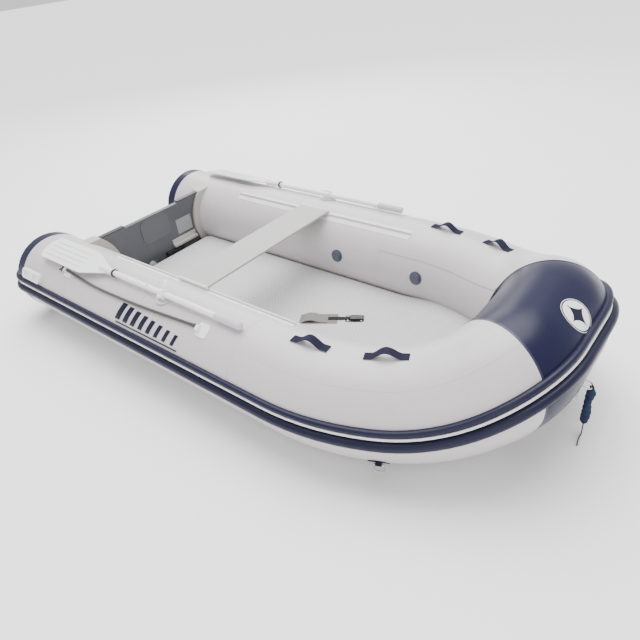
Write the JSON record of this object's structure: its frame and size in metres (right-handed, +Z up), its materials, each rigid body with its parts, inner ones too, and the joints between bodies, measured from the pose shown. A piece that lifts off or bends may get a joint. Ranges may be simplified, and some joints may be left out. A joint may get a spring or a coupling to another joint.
{
  "type": "inflatable dinghy",
  "caption": "Inflatable dinghy with twin air tubes, raised bow, air deck, transom, sliding seat and stowed oars.",
  "frame": {"origin": "centreline at mid-length, at the level the tubes rest on", "axes": "+X forward to the bow, +Y to port, +Z up"},
  "size_m": [2.9971, 1.5784, 0.592],
  "materials": {
    "hull_fabric": "light grey coated fabric, satin",
    "navy_fabric": "navy coated fabric, satin",
    "white_strip": "white moulded strip",
    "deck_fabric": "embossed deck fabric",
    "transom_paint": "painted marine plywood",
    "pad_grey": "grey moulded pad",
    "holder_beige": "beige coated fabric and mouldings",
    "black_plastic": "black moulded plastic",
    "light_plastic": "light moulded plastic",
    "rail_white": "white rail strip",
    "seat_grey": "light grey painted board",
    "channel_grey": "light grey channel",
    "white_plastic": "white moulded plastic",
    "oar_alloy": "white anodised tube",
    "grip_grey": "soft grip",
    "steel": "stainless wire",
    "black_rope": "black braided rope",
    "navy_webbing": "navy webbing",
    "strap_grey": "grey webbing",
    "valve_slate": "slate grey valve plastic"
  },
  "bodies": {
    "hull": {"port_tube": "hull_fabric", "starboard_tube": "hull_fabric", "port_bow_quarter": "hull_fabric", "starboard_bow_quarter": "hull_fabric", "bow_nose": "navy_fabric", "baffles": "hull_fabric", "stern_end_caps": "navy_fabric", "rubbing_strake": "navy_fabric", "strake_stripe": "white_strip", "hull_bottom": "hull_fabric", "air_keel": "hull_fabric", "air_deck": "deck_fabric", "transom_board": "transom_paint", "transom_holders": "holder_beige", "motor_pads": "pad_grey", "blank_plate": "holder_beige", "deck_ledge": "holder_beige", "pump_box": "black_plastic", "drain_fitting": "light_plastic", "seat_rails": "rail_white", "stern_fittings": "white_strip", "lifeline": "black_rope", "lifeline_knots": "black_rope", "line_holders": "white_strip", "bow_tab": "navy_webbing", "ring_tabs": "navy_webbing", "deck_strap": "strap_grey", "buckle_socket": "black_plastic", "chamber_valves": "valve_slate", "grab_handles": "navy_webbing", "rowlock_bases": "white_plastic"},
    "seat": {"seat_board": "seat_grey", "seat_channels": "channel_grey"},
    "bow_ring_body": {"bow_ring": "steel"},
    "grip_sleeve_body": {"grip_sleeve": "navy_webbing", "bow_tail": "navy_webbing", "bow_tail_knot": "navy_webbing"},
    "wire_ring_body": {"wire_ring": "steel"},
    "port_side_ring_body": {"port_side_ring": "steel"},
    "starboard_side_ring_body": {"starboard_side_ring": "steel"},
    "buckle_plug_body": {"buckle_plug": "black_plastic"},
    "drain_plug_body": {"drain_plug": "light_plastic"},
    "port_aft_cap_body": {"port_aft_valve_cap": "valve_slate"},
    "port_fore_cap_body": {"port_fore_valve_cap": "valve_slate"},
    "starboard_cap_body": {"starboard_valve_cap": "valve_slate"},
    "deck_cap_body": {"deck_valve_cap": "valve_slate"},
    "port_oar": {"port_rowlock_clamp": "white_plastic", "port_oar_upper_shaft": "oar_alloy", "port_oar_lower_shaft": "oar_alloy", "port_oar_grip": "grip_grey", "port_oar_ring": "black_plastic", "port_oar_blade": "white_plastic"},
    "port_button_body": {"port_oar_button": "steel"},
    "starboard_oar": {"starboard_rowlock_clamp": "white_plastic", "starboard_oar_upper_shaft": "oar_alloy", "starboard_oar_lower_shaft": "oar_alloy", "starboard_oar_grip": "grip_grey", "starboard_oar_ring": "black_plastic", "starboard_oar_blade": "white_plastic"},
    "starboard_button_body": {"starboard_oar_button": "steel"}
  },
  "joints": [
    {"name": "seat_slide", "type": "slide", "parent": "hull", "child": "seat", "axis": [1, 0, 0], "range_m": [-0.48, 0.51]},
    {"name": "port_oar_swing", "type": "hinge", "parent": "hull", "child": "port_oar", "pos_m": [-0.199, 0.60279, 0.432], "axis": [0, 0.2672, 0.9636], "range_deg": [-100, 0]},
    {"name": "starboard_oar_swing", "type": "hinge", "parent": "hull", "child": "starboard_oar", "pos_m": [-0.199, -0.60279, 0.432], "axis": [0, -0.2672, 0.9636], "range_deg": [0, 100]},
    {"name": "port_button_press", "type": "slide", "parent": "port_oar", "child": "port_button_body", "axis": [0, -0.2672, -0.9636], "range_m": [0, 0.003], "stiffness_N_per_m": 300},
    {"name": "starboard_button_press", "type": "slide", "parent": "starboard_oar", "child": "starboard_button_body", "axis": [0, 0.2672, -0.9636], "range_m": [0, 0.003], "stiffness_N_per_m": 300},
    {"name": "port_aft_cap_turn", "type": "hinge", "parent": "hull", "child": "port_aft_cap_body", "pos_m": [0.057, 0.32734, 0.2582], "axis": [0, -0.9848, 0.1736], "range_deg": [0, 90]},
    {"name": "port_fore_cap_turn", "type": "hinge", "parent": "hull", "child": "port_fore_cap_body", "pos_m": [0.54585, 0.32653, 0.25835], "axis": [-0.0461, -0.9837, 0.1736], "range_deg": [0, 90]},
    {"name": "deck_cap_turn", "type": "hinge", "parent": "hull", "child": "deck_cap_body", "pos_m": [-0.78, -0.215, 0.132], "axis": [0, 0, 1], "range_deg": [0, 90]},
    {"name": "starboard_cap_turn", "type": "hinge", "parent": "hull", "child": "starboard_cap_body", "pos_m": [0.057, -0.32734, 0.2582], "axis": [0, 0.9848, 0.1736], "range_deg": [-90, 0]},
    {"name": "drain_plug_pull", "type": "slide", "parent": "hull", "child": "drain_plug_body", "axis": [1, 0, 0], "range_m": [0, 0.022]},
    {"name": "bow_ring_swing", "type": "hinge", "parent": "hull", "child": "bow_ring_body", "pos_m": [1.44668, 0, 0.24339], "axis": [0, 1, 0], "range_deg": [-30, 25]},
    {"name": "grip_sleeve_swing", "type": "hinge", "parent": "bow_ring_body", "child": "grip_sleeve_body", "pos_m": [1.48355, 0, 0.23419], "axis": [0, 1, 0], "range_deg": [-60, 25]},
    {"name": "port_side_ring_swing", "type": "hinge", "parent": "hull", "child": "port_side_ring_body", "pos_m": [0.95164, 0.63402, 0.08326], "axis": [0.931, -0.361, 0.0534], "range_deg": [0, 75]},
    {"name": "starboard_side_ring_swing", "type": "hinge", "parent": "hull", "child": "starboard_side_ring_body", "pos_m": [0.95164, -0.63402, 0.08326], "axis": [0.931, 0.361, 0.0534], "range_deg": [-75, 0]},
    {"name": "wire_ring_swing", "type": "hinge", "parent": "hull", "child": "wire_ring_body", "pos_m": [1.4502, -0.062, 0.25065], "axis": [0, 1, 0], "range_deg": [-60, 0]},
    {"name": "buckle_release", "type": "slide", "parent": "hull", "child": "buckle_plug_body", "axis": [0.8572, 0.515, 0], "range_m": [0, 0.035]}
  ]
}
